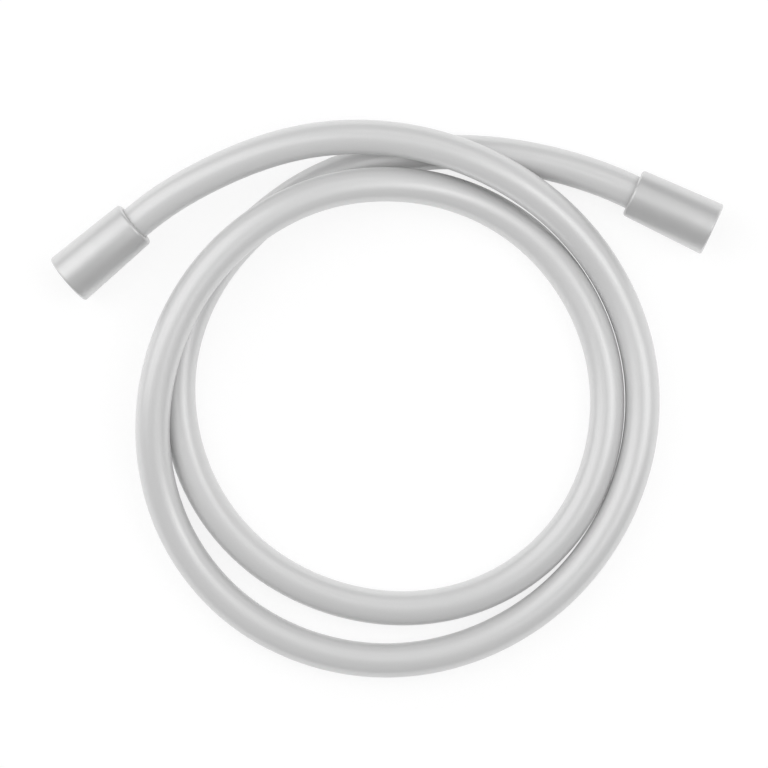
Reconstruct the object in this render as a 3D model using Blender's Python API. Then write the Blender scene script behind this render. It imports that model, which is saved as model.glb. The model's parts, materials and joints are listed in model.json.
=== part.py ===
"""A flexible shower hose, 1.6 m long, laid down in two loose turns, with a conical coupling nut on each end.

The hose is one extruded tube of satin silver-grey plastic. At each end a barbed insert stands in its bore and a
crimped ferrule grips it from outside. The coupling nut is turned over both: a shoulder in its bore sits between
the insert's flange and the ferrule, so that the nut spins freely but can't come off. A rubber washer lies in the
nut's mouth, on the flange, where the G 1/2 spigot of a mixer or a hand shower seals against it.

The floor is z = 0 and the origin is the middle of the laid hose on the floor. Sizes are in metres.
"""
import math

import bmesh
import bpy
import numpy as np
from mathutils import Matrix, Vector

# Hose
HOSE_DIAMETER = 0.0153
HOSE_BORE = 0.0090
HOSE_STATIONS = 78          # rings along the open stretch of the hose
RING_RESOLUTION = 4         # gives twelve sides round the hose

# Coupling nut
NUT_LENGTH = 0.0390
THREAD_ROOT_DIAMETER = 0.0210   # the thread itself is too fine for this model, so the bore clears a G 1/2 spigot
MOUTH_WALL = 0.0016
NECK_WALL = 0.0018
RIM_FILLET = 0.0009
MOUTH_CHAMFER = 0.0005
SPIGOT_DEPTH = 0.0086
SHOULDER_LENGTH = 0.0020
LIP_LENGTH = 0.0015
LIP_FILLET = 0.0004

# Washer
WASHER_DIAMETER = 0.0184
WASHER_HOLE = 0.0110
WASHER_THICKNESS = 0.0020
WASHER_FILLET = 0.0003

# Insert
FLANGE_DIAMETER = 0.0182
FLANGE_THICKNESS = 0.0020
FLANGE_CHAMFER = 0.0003
INSERT_NECK_DIAMETER = 0.0120
WATERWAY = 0.0060
BARB_COUNT = 3
BARB_HEIGHT = 0.00045
BARB_LEAD = 0.5             # the plain stem ahead of the first barb, as a share of a barb's pitch
BARB_SLOPE = 0.8            # how much of its pitch a barb's slope takes
STEM_TIP_SETBACK = 0.0016   # how far the stem's tip stays short of the ferrule's rear edge

# Ferrule
FERRULE_WALL = 0.0008
FERRULE_LIP_LENGTH = 0.0008
FERRULE_END_ROOM = 0.0013
FERRULE_FILLET = 0.0006
CRIMP_COUNT = 3
CRIMP_DEPTH = 0.00035
CRIMP_WIDTH = 0.0016

# Clearances
FACE_GAP = 0.0003           # between pieces that touch or grip each other
RUNNING_CLEARANCE = 0.0002  # round the insert's neck, where the nut turns
SKIRT_CLEARANCE = 0.0004    # inside the nut's skirt, round the ferrule
LIP_CLEARANCE = 0.0004      # where the hose leaves the nut

# Round pieces
NUT_SIDES = 40
INNER_SIDES = 24
FILLET_STEPS = 3
SHARP_ANGLE = math.radians(30)

# Where the two ends lie: the point on the floor below the back of each nut, the way its mouth faces as an angle
# from +X towards +Y, and how far that mouth points down
LEFT_NECK = (-0.11185, 0.0781)
LEFT_HEADING = math.radians(219.8)
LEFT_DIP = math.radians(5.0)
RIGHT_NECK = (0.10895, 0.0920)
RIGHT_HEADING = math.radians(-25.1)
STRAIGHT_PAST_NECK = 0.003  # the hose leaves each nut straight for this far

# The way the hose lies between its ends, chosen by hand: every 20 degrees clockwise round the coil, the distance
# from the coil's middle and how high the hose's underside is lifted, both in millimetres
COIL_MIDDLE = (0.0043, 0.0007)
FIRST_ANGLE = math.radians(130)
ANGLE_STEP = math.radians(-20)
LAY = [
    (129.0, 10.8), (120.5, 14.3), (114.1, 16.1), (109.95, 15.3), (108.4, 8.5), (108.45, 1.1), (109.0, 0.0),
    (109.55, 0.0), (110.45, 0.0), (112.2, 0.0), (114.25, 0.0), (116.5, 0.0), (117.7, 0.0), (117.5, 0.1),
    (114.6, 2.6), (109.65, 9.3), (105.0, 14.2), (101.35, 16.0), (98.5, 16.3), (96.4, 15.6), (94.5, 11.8),
    (93.65, 4.4), (93.1, 0.3), (92.6, 0.0), (93.1, 0.0), (93.65, 0.0), (94.55, 0.0), (94.9, 0.0), (94.4, 0.0),
    (93.4, 0.0), (93.1, 0.0), (94.1, 0.0), (95.4, 0.0), (96.7, 0.0), (97.8, 0.0), (98.3, 0.0), (99.0, 0.0),
    (102.3, 0.0), (107.4, 0.0), (115.9, 0.1), (130.3, 1.4),
]
MILLIMETRE = 0.001

# Places along a fitting's axis, as depths below the nut's mouth
WASHER_FRONT = SPIGOT_DEPTH
WASHER_BACK = WASHER_FRONT + WASHER_THICKNESS
FLANGE_FRONT = WASHER_BACK + FACE_GAP
FLANGE_BACK = FLANGE_FRONT + FLANGE_THICKNESS
SHOULDER_FRONT = FLANGE_BACK + FACE_GAP
SHOULDER_BACK = SHOULDER_FRONT + SHOULDER_LENGTH
FERRULE_FRONT = SHOULDER_BACK + FACE_GAP
HOSE_END = FERRULE_FRONT + FERRULE_LIP_LENGTH + FACE_GAP
LIP_FRONT = NUT_LENGTH - LIP_LENGTH
FERRULE_BACK = LIP_FRONT - FERRULE_END_ROOM
STEM_TIP = FERRULE_BACK - STEM_TIP_SETBACK

# Radii that follow from the fits
HOSE_RADIUS = HOSE_DIAMETER / 2
BARB_RADIUS = HOSE_BORE / 2 - FACE_GAP
STEM_RADIUS = BARB_RADIUS - BARB_HEIGHT
FERRULE_BORE_RADIUS = HOSE_RADIUS + FACE_GAP
FERRULE_RADIUS = FERRULE_BORE_RADIUS + FERRULE_WALL
SKIRT_RADIUS = FERRULE_RADIUS + SKIRT_CLEARANCE
MOUTH_RADIUS = THREAD_ROOT_DIAMETER / 2 + MOUTH_WALL
NECK_RADIUS = SKIRT_RADIUS + NECK_WALL
CONE_HALF_ANGLE = math.atan((MOUTH_RADIUS - NECK_RADIUS) / NUT_LENGTH)
RIGHT_DIP = -CONE_HALF_ANGLE    # this nut lies along its side on the floor


def satin_material(name, colour, metallic, roughness):
    """A plain surface of one colour."""
    material = bpy.data.materials.new(name)
    material.use_nodes = True
    shader = material.node_tree.nodes["Principled BSDF"]
    shader.inputs["Base Color"].default_value = (*colour, 1.0)
    shader.inputs["Metallic"].default_value = metallic
    shader.inputs["Roughness"].default_value = roughness
    return material


def filleted(corners):
    """The closed profile through corners of (radius, depth, fillet), with an arc wherever the fillet isn't zero."""
    profile = []
    for index, (radius, depth, fillet) in enumerate(corners):
        corner = Vector((radius, depth))
        if fillet == 0:
            profile.append(corner)
            continue
        before = Vector(corners[index - 1][:2]) - corner
        after = Vector(corners[(index + 1) % len(corners)][:2]) - corner
        half_angle = before.angle(after) / 2
        middle = corner + (before.normalized() + after.normalized()).normalized() * fillet / math.sin(half_angle)
        first = corner + before.normalized() * fillet / math.tan(half_angle) - middle
        last = corner + after.normalized() * fillet / math.tan(half_angle) - middle
        turn = first.angle_signed(last)
        for step in range(FILLET_STEPS + 1):
            profile.append(middle + Matrix.Rotation(-turn * step / FILLET_STEPS, 2) @ first)
    return profile


def turned(name, corners, sides, material, fitting):
    """A piece turned about its fitting's axis from a closed profile of (radius, depth, fillet) corners."""
    shape = bmesh.new()
    ring = [shape.verts.new((radius, 0, -depth)) for radius, depth in filleted(corners)]
    edges = [shape.edges.new((ring[index - 1], vert)) for index, vert in enumerate(ring)]
    bmesh.ops.spin(
        shape, geom=ring + edges, cent=(0, 0, 0), axis=(0, 0, 1), angle=math.tau, steps=sides, use_merge=True
    )
    bmesh.ops.recalc_face_normals(shape, faces=shape.faces)
    mesh = bpy.data.meshes.new(name)
    shape.to_mesh(mesh)
    shape.free()
    mesh.shade_smooth()
    mesh.set_sharp_from_angle(angle=SHARP_ANGLE)
    mesh.materials.append(material)
    piece = bpy.data.objects.new(name, mesh)
    bpy.context.scene.collection.objects.link(piece)
    piece.parent = fitting
    return piece


def nut_corners():
    """The coupling nut: a slightly conical shell, threaded at its mouth, with a shoulder inside and a lip behind."""
    bore = THREAD_ROOT_DIAMETER / 2
    shoulder = INSERT_NECK_DIAMETER / 2 + RUNNING_CLEARANCE
    lip = HOSE_RADIUS + LIP_CLEARANCE
    return [
        (MOUTH_RADIUS, 0, RIM_FILLET),
        (NECK_RADIUS, NUT_LENGTH, RIM_FILLET),
        (lip, NUT_LENGTH, LIP_FILLET),
        (lip, LIP_FRONT, 0),
        (SKIRT_RADIUS, LIP_FRONT, 0),
        (SKIRT_RADIUS, SHOULDER_BACK, 0),
        (shoulder, SHOULDER_BACK, 0),
        (shoulder, SHOULDER_FRONT, 0),
        (bore, SHOULDER_FRONT, 0),
        (bore, MOUTH_CHAMFER, 0),
        (bore + MOUTH_CHAMFER, 0, 0),
    ]


def washer_corners():
    """The flat rubber washer in the nut's mouth."""
    outside = WASHER_DIAMETER / 2
    hole = WASHER_HOLE / 2
    return [
        (outside, WASHER_FRONT, WASHER_FILLET),
        (outside, WASHER_BACK, WASHER_FILLET),
        (hole, WASHER_BACK, 0),
        (hole, WASHER_FRONT, 0),
    ]


def insert_corners():
    """The insert: a flange, a neck that the nut turns on, and a stem with barbs that slope towards its tip."""
    flange = FLANGE_DIAMETER / 2
    neck = INSERT_NECK_DIAMETER / 2
    bore = WATERWAY / 2
    corners = [
        (flange - FLANGE_CHAMFER, FLANGE_FRONT, 0),
        (flange, FLANGE_FRONT + FLANGE_CHAMFER, 0),
        (flange, FLANGE_BACK, 0),
        (neck, FLANGE_BACK, 0),
        (neck, SHOULDER_BACK, 0),
        (STEM_RADIUS, SHOULDER_BACK, 0),
    ]
    pitch = (STEM_TIP - HOSE_END) / (BARB_COUNT + BARB_LEAD)
    for barb in range(BARB_COUNT):
        crest = HOSE_END + pitch * (barb + BARB_LEAD)
        slope_end = crest + pitch * BARB_SLOPE
        corners += [(STEM_RADIUS, crest, 0), (BARB_RADIUS, crest, 0), (STEM_RADIUS, slope_end, 0)]
    return corners + [(STEM_RADIUS, STEM_TIP, 0), (bore, STEM_TIP, 0), (bore, FLANGE_FRONT, 0)]


def ferrule_corners():
    """The ferrule: a thin cup over the hose's end, rolled down in rings, with a lip in front that grips the stem."""
    lip = BARB_RADIUS + FACE_GAP
    corners = [(lip, FERRULE_FRONT, 0), (FERRULE_RADIUS, FERRULE_FRONT, FERRULE_FILLET)]
    pitch = (FERRULE_BACK - HOSE_END) / (CRIMP_COUNT + 1)
    for crimp in range(1, CRIMP_COUNT + 1):
        middle = HOSE_END + pitch * crimp
        corners += [
            (FERRULE_RADIUS, middle - CRIMP_WIDTH / 2, 0),
            (FERRULE_RADIUS - CRIMP_DEPTH, middle, 0),
            (FERRULE_RADIUS, middle + CRIMP_WIDTH / 2, 0),
        ]
    lip_back = FERRULE_FRONT + FERRULE_LIP_LENGTH
    return corners + [
        (FERRULE_RADIUS, FERRULE_BACK, 0),
        (FERRULE_BORE_RADIUS, FERRULE_BACK, 0),
        (FERRULE_BORE_RADIUS, lip_back, 0),
        (lip, lip_back, 0),
    ]


def place_fitting(name, neck, heading, dip):
    """An empty at the middle of a nut's mouth, with its own +Z out of the mouth. The mouth's rim rests on the floor."""
    outward = Vector((
        math.cos(heading) * math.cos(dip),
        math.sin(heading) * math.cos(dip),
        -math.sin(dip),
    ))
    mouth_height = MOUTH_RADIUS * math.cos(dip)
    back = Vector((*neck, mouth_height)) + Vector((0, 0, NUT_LENGTH * math.sin(dip)))
    fitting = bpy.data.objects.new(name, None)
    fitting.location = back + outward * NUT_LENGTH
    fitting.rotation_euler = outward.to_track_quat("Z", "Y").to_euler()
    bpy.context.scene.collection.objects.link(fitting)
    return fitting, outward


def build_fitting(side, neck, heading, dip, materials):
    """One end of the hose, and where the hose starts inside it and leaves it."""
    fitting, outward = place_fitting(f"{side}_fitting", neck, heading, dip)
    turned(f"{side}_coupling_nut", nut_corners(), NUT_SIDES, materials["nut"], fitting)
    turned(f"{side}_sealing_washer", washer_corners(), INNER_SIDES, materials["washer"], fitting)
    turned(f"{side}_hose_insert", insert_corners(), INNER_SIDES, materials["insert"], fitting)
    turned(f"{side}_crimp_ferrule", ferrule_corners(), INNER_SIDES, materials["ferrule"], fitting)
    hose_end = fitting.location - outward * HOSE_END
    leaves = fitting.location - outward * (NUT_LENGTH + STRAIGHT_PAST_NECK)
    return hose_end, leaves, outward


def smooth_curve(points, first_direction, last_direction, count):
    """Evenly spaced points on the smooth curve through the given ones, which starts and ends in set directions."""
    points = np.array(points)
    spans = np.linalg.norm(np.diff(points, axis=0), axis=1)
    slopes = np.diff(points, axis=0) / spans[:, None]
    inner = range(1, len(points) - 1)
    system = np.eye(len(points))
    tangents = np.zeros_like(points)
    tangents[0] = first_direction
    tangents[-1] = last_direction
    for index in inner:
        before, after = spans[index - 1], spans[index]
        system[index, index - 1:index + 2] = after, 2 * (before + after), before
        tangents[index] = 3 * (after * slopes[index - 1] + before * slopes[index])
    tangents = np.linalg.solve(system, tangents)
    starts = np.concatenate([[0], np.cumsum(spans)])
    curve = []
    for distance in np.linspace(0, starts[-1], count):
        index = min(int(np.searchsorted(starts, distance, side="right")) - 1, len(spans) - 1)
        span = spans[index]
        t = (distance - starts[index]) / span
        curve.append(
            (2 * t**3 - 3 * t**2 + 1) * points[index]
            + (t**3 - 2 * t**2 + t) * span * tangents[index]
            + (3 * t**2 - 2 * t**3) * points[index + 1]
            + (t**3 - t**2) * span * tangents[index + 1]
        )
    return curve


def laid_points():
    """The hand-chosen points that the hose passes through between its ends."""
    points = []
    for index, (radius, lift) in enumerate(LAY):
        angle = FIRST_ANGLE + ANGLE_STEP * index
        points.append((
            COIL_MIDDLE[0] + radius * MILLIMETRE * math.cos(angle),
            COIL_MIDDLE[1] + radius * MILLIMETRE * math.sin(angle),
            HOSE_RADIUS + lift * MILLIMETRE,
        ))
    return points


def build_hose(left, right, material):
    """The hose: a tube along its lay, open at both ends, with its full wall."""
    left_end, left_leaves, left_outward = left
    right_end, right_leaves, right_outward = right
    points = smooth_curve(
        [left_leaves, *laid_points(), right_leaves], -left_outward, right_outward, HOSE_STATIONS
    )
    for point in points:
        point[2] = max(point[2], HOSE_RADIUS)
    points = [left_end, *points, right_end]

    route = bpy.data.curves.new("hose", "CURVE")
    route.dimensions = "3D"
    route.bevel_depth = HOSE_RADIUS
    route.bevel_resolution = RING_RESOLUTION
    spline = route.splines.new("POLY")
    spline.points.add(len(points) - 1)
    for station, point in zip(spline.points, points):
        station.co = (*point, 1)
    route.materials.append(material)

    hose = bpy.data.objects.new("hose", route)
    bpy.context.scene.collection.objects.link(hose)
    wall = hose.modifiers.new("wall", "SOLIDIFY")
    wall.thickness = (HOSE_DIAMETER - HOSE_BORE) / 2
    wall.offset = -1
    wall.use_rim = True
    return hose


def main():
    for item in list(bpy.data.objects):
        bpy.data.objects.remove(item)
    materials = {
        "hose": satin_material("satin_hose_plastic", (0.62, 0.62, 0.63), 0.35, 0.34),
        "nut": satin_material("satin_plated_metal", (0.60, 0.60, 0.60), 0.90, 0.33),
        "washer": satin_material("black_rubber", (0.02, 0.02, 0.02), 0.0, 0.70),
        "insert": satin_material("brass", (0.71, 0.52, 0.24), 1.0, 0.30),
        "ferrule": satin_material("rolled_steel", (0.55, 0.56, 0.57), 1.0, 0.28),
    }
    left = build_fitting("left", LEFT_NECK, LEFT_HEADING, LEFT_DIP, materials)
    right = build_fitting("right", RIGHT_NECK, RIGHT_HEADING, RIGHT_DIP, materials)
    build_hose(left, right, materials["hose"])


main()
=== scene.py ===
"""The looks of a flexible shower hose, 1.6 m long, laid in two loose turns, seen straight from above.

The hose, the coupling nuts, the washers and the inserts are drawn finer here than the solids are,
with the nuts' threads cut, and every piece gets its finish. Sizes are in metres.
"""
import json
import math

import bpy
import numpy as np
from mathutils import Matrix, Vector

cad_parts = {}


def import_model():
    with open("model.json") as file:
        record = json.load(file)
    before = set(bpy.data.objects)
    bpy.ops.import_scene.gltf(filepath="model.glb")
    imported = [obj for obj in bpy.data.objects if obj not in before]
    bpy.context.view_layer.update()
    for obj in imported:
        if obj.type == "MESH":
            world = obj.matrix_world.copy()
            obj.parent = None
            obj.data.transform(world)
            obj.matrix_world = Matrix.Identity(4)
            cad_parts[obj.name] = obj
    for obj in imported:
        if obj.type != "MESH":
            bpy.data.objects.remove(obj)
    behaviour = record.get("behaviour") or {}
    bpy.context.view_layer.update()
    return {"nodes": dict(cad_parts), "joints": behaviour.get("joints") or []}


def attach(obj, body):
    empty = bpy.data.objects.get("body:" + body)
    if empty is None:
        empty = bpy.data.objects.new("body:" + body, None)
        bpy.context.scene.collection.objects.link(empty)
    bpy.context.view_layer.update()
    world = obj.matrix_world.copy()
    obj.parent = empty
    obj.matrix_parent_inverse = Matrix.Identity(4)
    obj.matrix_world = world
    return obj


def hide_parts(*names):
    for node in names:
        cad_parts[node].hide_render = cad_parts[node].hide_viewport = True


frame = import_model()

# Hose
HOSE_DIAMETER = 0.0153
HOSE_RADIUS = HOSE_DIAMETER / 2
HOSE_BORE = 0.0090
HOSE_SIDES = 48
RING_SPACING = 0.0025

# Coupling nut, with depths along its axis from the mouth
NUT_LENGTH = 0.0390
MOUTH_RADIUS = 0.0121
NECK_RADIUS = 0.01095
MOUTH_FILLET = 0.0010
NECK_FILLET = 0.0014
MOUTH_CHAMFER = 0.0005
SHOULDER_FRONT = 0.0132
SHOULDER_BACK = 0.0152
SHOULDER_RADIUS = 0.0062
SKIRT_RADIUS = 0.00915
LIP_FRONT = 0.0375
LIP_RADIUS = 0.00785
LIP_FILLET = 0.0007
NUT_SIDES = 128

# G 1/2 thread in the nut's bore: its form is so rounded that a sine stands for it
THREAD_ROOT_RADIUS = 0.0105
THREAD_PITCH = 0.001814
THREAD_HEIGHT = 0.001162
THREAD_FADE = 0.0009
THREAD_END = 0.0124
STEPS_PER_PITCH = 12

# Washer and insert, with depths from the nut's mouth
WASHER_RADIUS = 0.0092
WASHER_HOLE_RADIUS = 0.0055
WASHER_FRONT = 0.0086
WASHER_BACK = 0.0106
WASHER_FILLET = 0.0003
FLANGE_RADIUS = 0.0091
FLANGE_FRONT = 0.0109
FLANGE_BACK = 0.0129
FLANGE_FILLET = 0.0003
INSERT_NECK_RADIUS = 0.0060
STEM_RADIUS = 0.00375
BARB_RADIUS = 0.0042
BARB_CRESTS = (0.01917, 0.02431, 0.02946)
BARB_LENGTH = 0.0041
STEM_TIP = 0.0346
WATERWAY_RADIUS = 0.0030
WATERWAY_FILLET = 0.0005
HOSE_END = 0.0166
INNER_SIDES = 96

# Meshes: the steps in a rounded edge, the angle from which an edge is sharp, and how near is equal
FILLET_STEPS = 8
SHARP_ANGLE = math.radians(35)
EQUAL = 1e-6

# How the hose lies between its ends: every 20 degrees clockwise round the coil, the distance from the
# coil's middle and how high the underside is lifted. These are its solid's points, some moved by up to
# 0.2 mm where two strands meet or part, because the solid's flat faces need more room there
COIL_MIDDLE = (0.0043, 0.0007)
FIRST_ANGLE = math.radians(130)
ANGLE_STEP = math.radians(-20)
STRAIGHT_PAST_NECK = 0.003
LAY = [
    (0.1290, 0.0108), (0.1205, 0.0143), (0.1141, 0.0161), (0.10995, 0.0153), (0.1084, 0.0085),
    (0.10835, 0.0011), (0.10888, 0.0), (0.1094, 0.0), (0.11025, 0.0), (0.11205, 0.0),
    (0.11425, 0.0), (0.1165, 0.0), (0.1177, 0.0), (0.1175, 0.0001), (0.11465, 0.0026),
    (0.10978, 0.0093), (0.1050, 0.0142), (0.10135, 0.0160), (0.0985, 0.0163), (0.0964, 0.0156),
    (0.0945, 0.0118), (0.09365, 0.0044), (0.0931, 0.0003), (0.0927, 0.0), (0.09313, 0.0),
    (0.0938, 0.0), (0.09475, 0.0), (0.09505, 0.0), (0.0944, 0.0), (0.0934, 0.0),
    (0.0931, 0.0), (0.0941, 0.0), (0.09535, 0.0), (0.09658, 0.0), (0.0978, 0.0),
    (0.0983, 0.0), (0.0990, 0.0), (0.1023, 0.0), (0.1074, 0.0), (0.1159, 0.0001),
    (0.1303, 0.0014),
]

# The photograph's frame: its width on the floor, the point that it looks straight down on, and the
# camera's height, sensor and reach
VIEW_WIDTH = 0.3428
VIEW_CENTRE = (-0.0015, 0.0070)
CAMERA_HEIGHT = 2.009
SENSOR_WIDTH = 36
CAMERA_REACH = 20

# The lamps, all at one distance: each one's azimuth and elevation in degrees, its width, its height
# and its strength
LAMP_DISTANCE = 1.0
SOFTBOXES = [
    ("left_softbox", 157, 40, 0.95, 0.75, 0.31),
    ("left_softbox_high", 157, 52, 0.95, 0.36, 0.29),
    ("left_softbox_low", 157, 30, 0.95, 0.36, 0.29),
    ("right_softbox", 0, 46, 0.42, 0.62, 0.31),
    ("right_softbox_high", 0, 54, 0.60, 0.36, 0.17),
    ("back_softbox", 67, 50, 0.95, 0.40, 0.21),
    ("upper_left_softbox", 150, 70, 0.42, 0.42, 0.18),
    ("upper_front_softbox", 330, 70, 0.42, 0.42, 0.11),
    ("upper_right_softbox", 30, 70, 0.42, 0.42, 0.14),
    ("low_left_softbox", 180, 12, 1.40, 0.40, 0.13),
    ("low_right_softbox", 20, 12, 1.20, 0.40, 0.20),
]

# The room's own light, and the floor: its size, the gap under the hose, its colour, the share of white
# that a shadow can take from what the camera sees, the white itself, and how bright gloss sees it
ROOM_LEVEL = 0.49
FLOOR_SIZE = 8.0
FLOOR_GAP = 0.0002
FLOOR_COLOUR = 0.93
FLOOR_ROUGHNESS = 0.9
FLOOR_SHADOW = 0.21
FLOOR_WHITE = 1.03
FLOOR_GLOSS = 0.46


def joint_named(name):
    """The record's joint of that name."""
    return next(joint for joint in frame["joints"] if joint["name"] == name)


class Fitting:
    """Where one end of the hose is: the middle of its nut's mouth and the way the mouth faces."""

    def __init__(self, side):
        joint = joint_named(f"{side}_nut_spin")
        self.side = side
        self.mouth = Vector(joint["pos_m"])
        self.outward = Vector(joint["axis"]).normalized()
        turn = self.outward.to_track_quat("Z", "Y").to_matrix().to_4x4()
        self.place = Matrix.Translation(self.mouth) @ turn

    def at(self, depth):
        """The point on the axis that deep in the mouth."""
        return self.mouth - self.outward * depth


def filleted(corners):
    """The profile through corners of (radius, depth, fillet), with an arc wherever a fillet is given."""
    profile = []
    for index, (radius, depth, fillet) in enumerate(corners):
        corner = Vector((radius, depth))
        if fillet == 0:
            profile.append(corner)
            continue
        before = Vector(corners[index - 1][:2]) - corner
        after = Vector(corners[(index + 1) % len(corners)][:2]) - corner
        half_angle = before.angle(after) / 2
        inward = (before.normalized() + after.normalized()).normalized()
        middle = corner + inward * fillet / math.sin(half_angle)
        first = corner + before.normalized() * fillet / math.tan(half_angle) - middle
        last = corner + after.normalized() * fillet / math.tan(half_angle) - middle
        turn = first.angle_signed(last)
        for step in range(FILLET_STEPS + 1):
            profile.append(middle + Matrix.Rotation(-turn * step / FILLET_STEPS, 2) @ first)
    return profile


def thread_height(depth, turn):
    """How far the thread stands into the bore, that deep and that far round, in turns."""
    rise = min(1, max(0, (depth - MOUTH_CHAMFER) / THREAD_FADE))
    fall = min(1, max(0, (THREAD_END - depth) / THREAD_FADE))
    wave = 0.5 - 0.5 * math.cos(math.tau * (depth / THREAD_PITCH - turn))
    return THREAD_HEIGHT * wave * min(rise, fall)


def ring_mesh(name, rows, material, girth):
    """A closed mesh over rows of points, each row a ring and the last joined to the first.

    Its map is in metres: round the ring, girth long, and from row to row.
    """
    sides = len(rows[0])
    count = len(rows)
    travel = [0.0]
    for row in range(count):
        travel.append(travel[-1] + (rows[(row + 1) % count][0] - rows[row][0]).length)
    faces, places = [], []
    for row in range(count):
        above, below = row * sides, (row + 1) % count * sides
        for side in range(sides):
            onward = (side + 1) % sides
            faces.append((above + side, below + side, below + onward, above + onward))
            here, there = side * girth / sides, (side + 1) * girth / sides
            places += [
                (here, travel[row]),
                (here, travel[row + 1]),
                (there, travel[row + 1]),
                (there, travel[row]),
            ]
    mesh = bpy.data.meshes.new(name)
    mesh.from_pydata([point for row in rows for point in row], [], faces)
    layer = mesh.uv_layers.new(name="surface")
    layer.data.foreach_set("uv", [value for place in places for value in place])
    mesh.shade_smooth()
    mesh.set_sharp_from_angle(angle=SHARP_ANGLE)
    mesh.materials.append(material)
    piece = bpy.data.objects.new(name, mesh)
    bpy.context.scene.collection.objects.link(piece)
    return piece


def turned(name, profile, sides, material, fitting, relief=None):
    """A piece turned about a fitting's axis from a closed profile.

    relief, if given, says how far the wall moves inwards at a radius, a depth and a part of a turn.
    """
    rows = []
    for radius, depth in profile:
        row = []
        for side in range(sides):
            turn = side / sides
            here = radius - relief(radius, depth, turn) if relief else radius
            angle = math.tau * turn
            row.append(fitting.place @ Vector((here * math.cos(angle), here * math.sin(angle), -depth)))
        rows.append(row)
    girth = math.tau * max(radius for radius, depth in profile)
    return ring_mesh(name, rows, material, girth)


def nut_profile():
    """The nut's outline, outside first, with close points down the threaded bore."""
    outline = filleted([
        (MOUTH_RADIUS, 0, MOUTH_FILLET),
        (NECK_RADIUS, NUT_LENGTH, NECK_FILLET),
        (LIP_RADIUS, NUT_LENGTH, LIP_FILLET),
        (LIP_RADIUS, LIP_FRONT, 0),
        (SKIRT_RADIUS, LIP_FRONT, 0),
        (SKIRT_RADIUS, SHOULDER_BACK, 0),
        (SHOULDER_RADIUS, SHOULDER_BACK, 0),
        (SHOULDER_RADIUS, SHOULDER_FRONT, 0),
        (THREAD_ROOT_RADIUS, SHOULDER_FRONT, 0),
        (THREAD_ROOT_RADIUS, MOUTH_CHAMFER, 0),
        (THREAD_ROOT_RADIUS + MOUTH_CHAMFER, 0, 0),
    ])
    steps = round((SHOULDER_FRONT - MOUTH_CHAMFER) / THREAD_PITCH * STEPS_PER_PITCH)
    bore = [
        Vector((THREAD_ROOT_RADIUS, SHOULDER_FRONT + (MOUTH_CHAMFER - SHOULDER_FRONT) * step / steps))
        for step in range(1, steps)
    ]
    return outline[:-2] + bore + outline[-2:]


def insert_profile():
    """The insert's outline: a flange, the neck that the nut turns on, and a barbed stem."""
    corners = [
        (FLANGE_RADIUS, FLANGE_FRONT, FLANGE_FILLET),
        (FLANGE_RADIUS, FLANGE_BACK, 0),
        (INSERT_NECK_RADIUS, FLANGE_BACK, 0),
        (INSERT_NECK_RADIUS, SHOULDER_BACK, 0),
        (STEM_RADIUS, SHOULDER_BACK, 0),
    ]
    for crest in BARB_CRESTS:
        corners += [
            (STEM_RADIUS, crest, 0),
            (BARB_RADIUS, crest, 0),
            (STEM_RADIUS, crest + BARB_LENGTH, 0),
        ]
    corners += [
        (STEM_RADIUS, STEM_TIP, 0),
        (WATERWAY_RADIUS, STEM_TIP, 0),
        (WATERWAY_RADIUS, FLANGE_FRONT, WATERWAY_FILLET),
    ]
    return filleted(corners)


def thread_relief(radius, depth, turn):
    """The thread, on the wall of the nut's bore alone."""
    on_wall = abs(radius - THREAD_ROOT_RADIUS) < EQUAL and MOUTH_CHAMFER < depth < THREAD_END
    return thread_height(depth, turn) if on_wall else 0


def smooth_curve(points, first_direction, last_direction, spacing):
    """Evenly spaced points on the smooth curve through the given ones, with its end directions set."""
    points = np.array(points)
    spans = np.linalg.norm(np.diff(points, axis=0), axis=1)
    slopes = np.diff(points, axis=0) / spans[:, None]
    system = np.eye(len(points))
    tangents = np.zeros_like(points)
    tangents[0] = first_direction
    tangents[-1] = last_direction
    for index in range(1, len(points) - 1):
        before, after = spans[index - 1], spans[index]
        system[index, index - 1:index + 2] = after, 2 * (before + after), before
        tangents[index] = 3 * (after * slopes[index - 1] + before * slopes[index])
    tangents = np.linalg.solve(system, tangents)
    starts = np.concatenate([[0], np.cumsum(spans)])
    curve = []
    for distance in np.linspace(0, starts[-1], round(starts[-1] / spacing)):
        index = min(int(np.searchsorted(starts, distance, side="right")) - 1, len(spans) - 1)
        span = spans[index]
        t = (distance - starts[index]) / span
        curve.append(
            (2 * t**3 - 3 * t**2 + 1) * points[index]
            + (t**3 - 2 * t**2 + t) * span * tangents[index]
            + (3 * t**2 - 2 * t**3) * points[index + 1]
            + (t**3 - t**2) * span * tangents[index + 1]
        )
    return curve


def hose_line(left, right):
    """The hose's centreline, from its end in the left nut to its end in the right one.

    No point of it is so low that the hose would sink into the floor.
    """
    points = [left.at(NUT_LENGTH + STRAIGHT_PAST_NECK)]
    for index, (radius, lift) in enumerate(LAY):
        angle = FIRST_ANGLE + ANGLE_STEP * index
        points.append(Vector((
            COIL_MIDDLE[0] + radius * math.cos(angle),
            COIL_MIDDLE[1] + radius * math.sin(angle),
            HOSE_RADIUS + lift,
        )))
    points.append(right.at(NUT_LENGTH + STRAIGHT_PAST_NECK))
    curve = smooth_curve(points, -left.outward, right.outward, RING_SPACING)
    line = [Vector((x, y, max(z, HOSE_RADIUS))) for x, y, z in curve]
    hidden = NUT_LENGTH + STRAIGHT_PAST_NECK - HOSE_END
    steps = round(hidden / RING_SPACING)
    before = [left.at(HOSE_END + hidden * step / steps) for step in range(steps)]
    after = [right.at(HOSE_END + hidden * (steps - 1 - step) / steps) for step in range(steps)]
    return before + line + after


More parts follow.
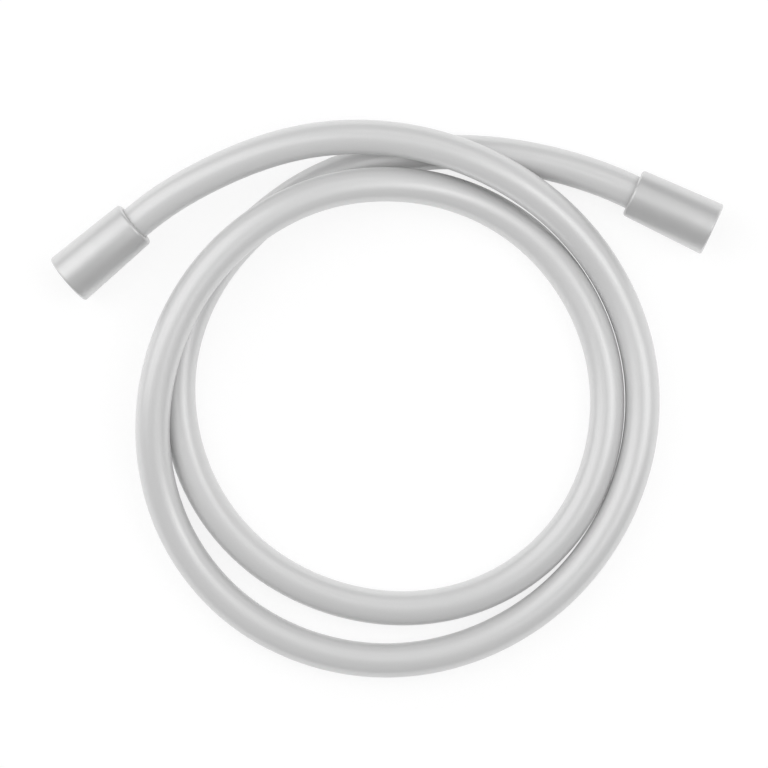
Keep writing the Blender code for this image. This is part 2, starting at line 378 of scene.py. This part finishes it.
def hose_mesh(line, material):
    """The hose: an outer wall and a bore along the line, joined at its cut ends."""
    last = len(line) - 1
    ways = [(line[min(i + 1, last)] - line[max(i - 1, 0)]).normalized() for i in range(len(line))]
    across = Vector((0, 0, 1)).cross(ways[0]).normalized()
    outer, inner = [], []
    for point, way in zip(line, ways):
        across = (across - way * across.dot(way)).normalized()
        up = way.cross(across)
        angles = [math.tau * side / HOSE_SIDES for side in range(HOSE_SIDES)]
        spokes = [across * math.cos(angle) + up * math.sin(angle) for angle in angles]
        outer.append([point + spoke * HOSE_RADIUS for spoke in spokes])
        inner.append([point + spoke * HOSE_BORE / 2 for spoke in spokes])
    return ring_mesh("hose_tube", outer[::-1] + inner, material, math.pi * HOSE_DIAMETER)


def new_material(name):
    """A new material, its node tree and its shader."""
    material = bpy.data.materials.new(name)
    material.use_nodes = True
    tree = material.node_tree
    return material, tree, tree.nodes["Principled BSDF"]


def grain(tree, scale, detail=2.0, stretch=(1, 1, 1), space="Object"):
    """Noise in cycles a metre, stretched along the axes of the object's space or of its map."""
    place = tree.nodes.new("ShaderNodeTexCoord")
    mapping = tree.nodes.new("ShaderNodeMapping")
    mapping.inputs["Scale"].default_value = stretch
    texture = tree.nodes.new("ShaderNodeTexNoise")
    texture.inputs["Scale"].default_value = scale
    texture.inputs["Detail"].default_value = detail
    tree.links.new(place.outputs[space], mapping.inputs["Vector"])
    tree.links.new(mapping.outputs["Vector"], texture.inputs["Vector"])
    return texture.outputs["Fac"]


def ranged(tree, value, low, high):
    """A value from 0 to 1 brought between two others."""
    node = tree.nodes.new("ShaderNodeMapRange")
    node.inputs["To Min"].default_value = low
    node.inputs["To Max"].default_value = high
    tree.links.new(value, node.inputs["Value"])
    return node.outputs["Result"]


def tinted(tree, shader, value, dark, light):
    """Colours the surface between two shades by a value from 0 to 1."""
    mix = tree.nodes.new("ShaderNodeMix")
    mix.data_type = "RGBA"
    mix.inputs["A"].default_value = (*dark, 1)
    mix.inputs["B"].default_value = (*light, 1)
    tree.links.new(value, mix.inputs["Factor"])
    tree.links.new(mix.outputs["Result"], shader.inputs["Base Color"])


def bumped(tree, shader, heights):
    """Lifts the surface by heights from 0 to 1, each with its depth in metres."""
    normal = None
    for height, depth in heights:
        bump = tree.nodes.new("ShaderNodeBump")
        bump.inputs["Distance"].default_value = depth
        tree.links.new(height, bump.inputs["Height"])
        if normal:
            tree.links.new(normal, bump.inputs["Normal"])
        normal = bump.outputs["Normal"]
    tree.links.new(normal, shader.inputs["Normal"])


def hose_plastic():
    """Satin silver plastic: fine metallic pigment in a smooth skin, with faint lines along the hose."""
    material, tree, shader = new_material("silver_plastic")
    shader.inputs["Metallic"].default_value = 0.2
    tinted(tree, shader, grain(tree, 2600, 2), (0.655, 0.655, 0.655), (0.705, 0.705, 0.705))
    lines = grain(tree, 1, 3, (900, 9, 1), "UV")
    tree.links.new(ranged(tree, lines, 0.27, 0.37), shader.inputs["Roughness"])
    bumped(tree, shader, [(lines, 0.000012), (grain(tree, 1800, 2), 0.000003)])
    return material


def plated_metal():
    """Satin plating on a turned nut, with a trace of its turning."""
    material, tree, shader = new_material("satin_plating")
    shader.inputs["Metallic"].default_value = 0.75
    tinted(tree, shader, grain(tree, 160, 3), (0.595, 0.595, 0.595), (0.635, 0.635, 0.635))
    rings = grain(tree, 1, 2, (30, 4000, 1), "UV")
    tree.links.new(ranged(tree, rings, 0.40, 0.47), shader.inputs["Roughness"])
    bumped(tree, shader, [(rings, 0.000002)])
    return material


def rubber():
    """Black moulded rubber."""
    material, tree, shader = new_material("washer_rubber")
    tinted(tree, shader, grain(tree, 900, 3), (0.016, 0.016, 0.016), (0.030, 0.030, 0.030))
    tree.links.new(ranged(tree, grain(tree, 500, 3), 0.55, 0.80), shader.inputs["Roughness"])
    bumped(tree, shader, [(grain(tree, 3500, 3), 0.00003)])
    return material


def brass():
    """Brass, turned, with fine rings left by the tool."""
    material, tree, shader = new_material("turned_brass")
    shader.inputs["Metallic"].default_value = 1
    tinted(tree, shader, grain(tree, 300, 3), (0.68, 0.49, 0.22), (0.76, 0.57, 0.28))
    rings = grain(tree, 1, 2, (60, 9000, 1), "UV")
    tree.links.new(ranged(tree, rings, 0.20, 0.36), shader.inputs["Roughness"])
    bumped(tree, shader, [(rings, 0.000006)])
    return material


def steel():
    """Rolled steel, dulled by the crimping."""
    material, tree, shader = new_material("ferrule_steel")
    shader.inputs["Metallic"].default_value = 1
    tinted(tree, shader, grain(tree, 700, 4), (0.50, 0.51, 0.52), (0.59, 0.60, 0.61))
    tree.links.new(ranged(tree, grain(tree, 2500, 3), 0.24, 0.38), shader.inputs["Roughness"])
    bumped(tree, shader, [(grain(tree, 3000, 3), 0.00001)])
    return material


def build_fitting(fitting, materials):
    """One end's nut, washer and insert, each on its body, and its ferrule's finish."""
    side = fitting.side
    nut = turned(f"{side}_nut", nut_profile(), NUT_SIDES, materials["nut"], fitting, thread_relief)
    washer = turned(
        f"{side}_washer",
        filleted([
            (WASHER_RADIUS, WASHER_FRONT, WASHER_FILLET),
            (WASHER_RADIUS, WASHER_BACK, WASHER_FILLET),
            (WASHER_HOLE_RADIUS, WASHER_BACK, WASHER_FILLET),
            (WASHER_HOLE_RADIUS, WASHER_FRONT, WASHER_FILLET),
        ]),
        INNER_SIDES, materials["washer"], fitting,
    )
    insert = turned(f"{side}_insert", insert_profile(), INNER_SIDES, materials["insert"], fitting)
    for piece, body, node, slot in (
        (nut, f"{side}_nut", f"{side}_coupling_nut", "satin_plated_metal"),
        (washer, f"{side}_nut", f"{side}_sealing_washer", "black_rubber"),
        (insert, "hose", f"{side}_hose_insert", "brass"),
    ):
        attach(piece, body)
        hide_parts(node)
    ferrule = frame["nodes"][f"{side}_crimp_ferrule"]
    ferrule.data.materials.clear()
    ferrule.data.materials.append(materials["ferrule"])
    return [nut, washer, insert, ferrule]


def camera():
    """Looks straight down from the photograph's height, upright in +Y."""
    data = bpy.data.cameras.new("camera")
    data.sensor_width = SENSOR_WIDTH
    data.lens = SENSOR_WIDTH * CAMERA_HEIGHT / VIEW_WIDTH
    data.clip_end = CAMERA_REACH
    item = bpy.data.objects.new("camera", data)
    item.location = (*VIEW_CENTRE, CAMERA_HEIGHT)
    bpy.context.scene.collection.objects.link(item)
    bpy.context.scene.camera = item


def floor():
    """A white floor that shows white to the camera and keeps a soft shadow."""
    mesh = bpy.data.meshes.new("floor")
    half = FLOOR_SIZE / 2
    corners = [(-half, -half, 0), (half, -half, 0), (half, half, 0), (-half, half, 0)]
    mesh.from_pydata(corners, [], [(0, 1, 2, 3)])
    item = bpy.data.objects.new("floor", mesh)
    item.location.z = -FLOOR_GAP
    bpy.context.scene.collection.objects.link(item)
    material, tree, shader = new_material("white_floor")
    shader.inputs["Roughness"].default_value = FLOOR_ROUGHNESS
    shader.inputs["Specular IOR Level"].default_value = 0.0
    shader.inputs["Emission Color"].default_value = (1, 1, 1, 1)
    path = tree.nodes.new("ShaderNodeLightPath")
    colour = tree.nodes.new("ShaderNodeMix")
    colour.data_type = "RGBA"
    colour.inputs["A"].default_value = (FLOOR_COLOUR, FLOOR_COLOUR, FLOOR_COLOUR, 1)
    colour.inputs["B"].default_value = (FLOOR_SHADOW, FLOOR_SHADOW, FLOOR_SHADOW, 1)
    tree.links.new(path.outputs["Is Camera Ray"], colour.inputs["Factor"])
    tree.links.new(colour.outputs["Result"], shader.inputs["Base Color"])
    glossy = ranged(tree, path.outputs["Is Glossy Ray"], 0.0, FLOOR_GLOSS)
    seen = ranged(tree, path.outputs["Is Camera Ray"], 0.0, FLOOR_WHITE - FLOOR_SHADOW)
    both = tree.nodes.new("ShaderNodeMath")
    tree.links.new(glossy, both.inputs[0])
    tree.links.new(seen, both.inputs[1])
    tree.links.new(both.outputs[0], shader.inputs["Emission Strength"])
    mesh.materials.append(material)


def softbox(name, azimuth, elevation, width, height, strength):
    """A soft lamp that faces the coil. Its strength is how brightly it lights white that faces it."""
    azimuth, elevation = math.radians(azimuth), math.radians(elevation)
    way = Vector((
        math.cos(elevation) * math.cos(azimuth),
        math.cos(elevation) * math.sin(azimuth),
        math.sin(elevation),
    ))
    data = bpy.data.lights.new(name, "AREA")
    data.shape = "RECTANGLE"
    data.size = width
    data.size_y = height
    data.energy = strength * math.pi * LAMP_DISTANCE**2
    item = bpy.data.objects.new(name, data)
    item.location = way * LAMP_DISTANCE
    item.rotation_euler = way.to_track_quat("Z", "Y").to_euler()
    item.visible_camera = False
    bpy.context.scene.collection.objects.link(item)


def world():
    """White to the camera, and a pale grey room to everything else."""
    item = bpy.data.worlds.new("studio")
    item.use_nodes = True
    tree = item.node_tree
    background = tree.nodes["Background"]
    path = tree.nodes.new("ShaderNodeLightPath")
    level = ranged(tree, path.outputs["Is Camera Ray"], ROOM_LEVEL, 1.0)
    tree.links.new(level, background.inputs["Strength"])
    background.inputs["Color"].default_value = (1, 1, 1, 1)
    bpy.context.scene.world = item


def main():
    materials = {
        "hose": hose_plastic(),
        "nut": plated_metal(),
        "washer": rubber(),
        "insert": brass(),
        "ferrule": steel(),
    }
    left, right = Fitting("left"), Fitting("right")
    build_fitting(left, materials)
    right_pieces = build_fitting(right, materials)
    line = hose_line(left, right)
    hose = hose_mesh(line, materials["hose"])
    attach(hose, "hose")
    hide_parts("hose")
    left.at(HOSE_END)
    camera()
    floor()
    for box in SOFTBOXES:
        softbox(*box)
    world()
    bpy.context.scene.view_settings.view_transform = "Standard"


main()
